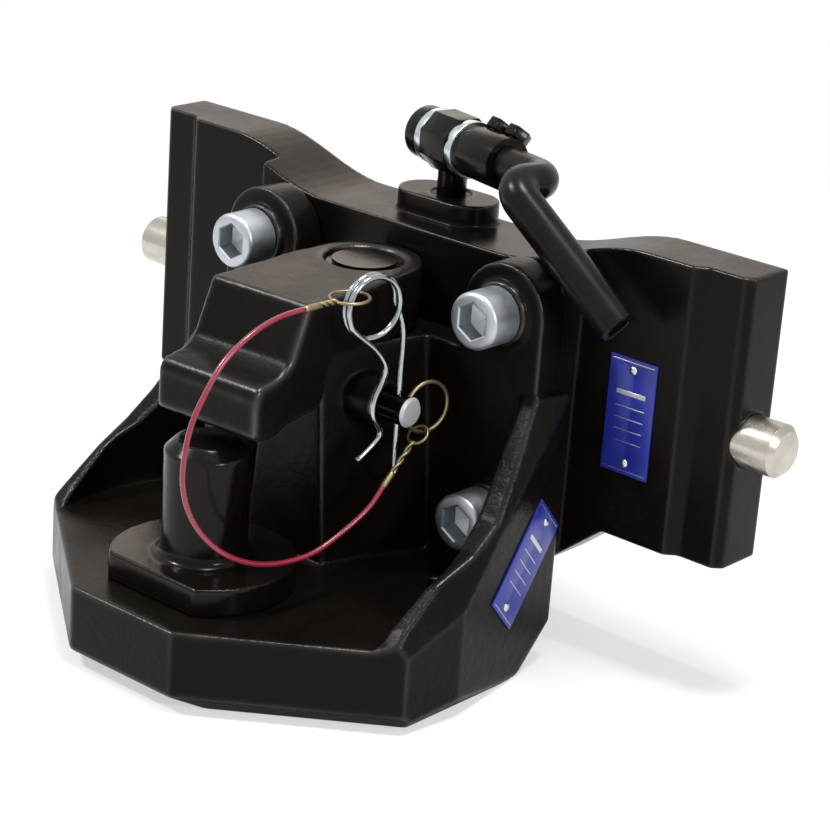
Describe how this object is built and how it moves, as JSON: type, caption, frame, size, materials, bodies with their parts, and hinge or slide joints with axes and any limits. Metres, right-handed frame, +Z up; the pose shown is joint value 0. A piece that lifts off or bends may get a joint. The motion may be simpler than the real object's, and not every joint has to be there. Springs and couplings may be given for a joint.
{
  "type": "tractor towing hook",
  "caption": "Cast towing hook with a fixed upright coupling pin under a swinging keeper, bolted to a sliding carriage held in its guide rails by spring-loaded locking pins and a lift lever.",
  "frame": {"origin": "middle of the carriage's back face, level with the locking pins", "axes": "+X to the right along the carriage, +Y back towards the tractor, +Z up along the coupling pin"},
  "size_m": [0.452, 0.2589, 0.2662],
  "materials": {
    "black_paint": "gloss black paint over cast steel",
    "bronze": "plain bronze bush",
    "machined_steel": "machined steel, lightly oiled",
    "zinc_plate": "bright zinc plating",
    "blue_plate": "blue anodised blank plate",
    "rivet_aluminium": "plain rivet heads",
    "black_rubber": "matt rubber hose",
    "black_plastic": "moulded black cap",
    "red_coating": "red plastic coating over wire rope",
    "brass_ferrule": "crimped brass ferrule and wire eye"
  },
  "bodies": {
    "carriage": {"carriage_plate": "black_paint", "rod_bush": "bronze", "spring_seats": "machined_steel", "back_cover": "zinc_plate", "cover_screws": "zinc_plate", "hook_body": "black_paint", "hook_screws": "zinc_plate", "coupling_pin": "black_paint", "coupling_nut": "zinc_plate", "coupling_washer": "zinc_plate", "nameplate_carriage": "blue_plate", "nameplate_body": "blue_plate", "nameplate_rivets": "rivet_aluminium", "locking_spring_left": "machined_steel", "locking_spring_right": "machined_steel"},
    "pull_rod": {"pull_rod": "black_paint", "cam_plate": "machined_steel", "cam_dowel": "machined_steel"},
    "lever": {"lever_bar": "black_paint", "lever_grip": "black_rubber", "lever_sleeve": "black_paint", "lever_cap": "black_plastic", "lever_washers": "zinc_plate", "clamp_bolts": "black_paint"},
    "locking_pin_left": {"locking_pin_left": "zinc_plate", "follower_peg_left": "machined_steel"},
    "locking_pin_right": {"locking_pin_right": "zinc_plate", "follower_peg_right": "machined_steel"},
    "keeper": {"keeper": "black_paint", "keeper_stem": "machined_steel", "keeper_key": "machined_steel", "keeper_ring": "machined_steel"},
    "lock_pin": {"lock_pin": "zinc_plate", "pull_ring": "brass_ferrule", "lanyard_cable": "red_coating", "lanyard_lower_eye": "brass_ferrule"},
    "hairpin": {"hairpin_clip": "zinc_plate", "lanyard_upper_eye": "brass_ferrule"}
  },
  "joints": [
    {"name": "rod_lift", "type": "slide", "parent": "carriage", "child": "pull_rod", "axis": [0, 0, 1], "range_m": [0, 0.022]},
    {"name": "lever_swing", "type": "hinge", "parent": "pull_rod", "child": "lever", "pos_m": [0, -0.016, 0.108], "axis": [-0.9703, 0.2419, 0], "range_deg": [0, 110]},
    {"name": "pin_right_slide", "type": "slide", "parent": "carriage", "child": "locking_pin_right", "axis": [1, 0, 0], "range_m": [-0.022, 0], "stiffness_N_per_m": 1500, "springref_m": 0.01, "deforming": ["locking_spring_right"]},
    {"name": "pin_left_slide", "type": "slide", "parent": "carriage", "child": "locking_pin_left", "axis": [1, 0, 0], "range_m": [0, 0.022], "stiffness_N_per_m": 1500, "springref_m": -0.01, "deforming": ["locking_spring_left"]},
    {"name": "keeper_swing", "type": "hinge", "parent": "carriage", "child": "keeper", "pos_m": [0, -0.083, 0], "axis": [0, 0, 1], "range_deg": [-45, 0]},
    {"name": "lock_pin_slide", "type": "slide", "parent": "carriage", "child": "lock_pin", "axis": [-1, 0, 0], "range_m": [0, 0.0055]},
    {"name": "clip_lift", "type": "slide", "parent": "lock_pin", "child": "hairpin", "axis": [0, 0, 1], "range_m": [0, 0.075], "deforming": ["lanyard_cable"]}
  ],
  "couplings": [
    {"joint": "pin_right_slide", "follows": "rod_lift", "ratio": -1},
    {"joint": "pin_left_slide", "follows": "rod_lift", "ratio": 1}
  ]
}
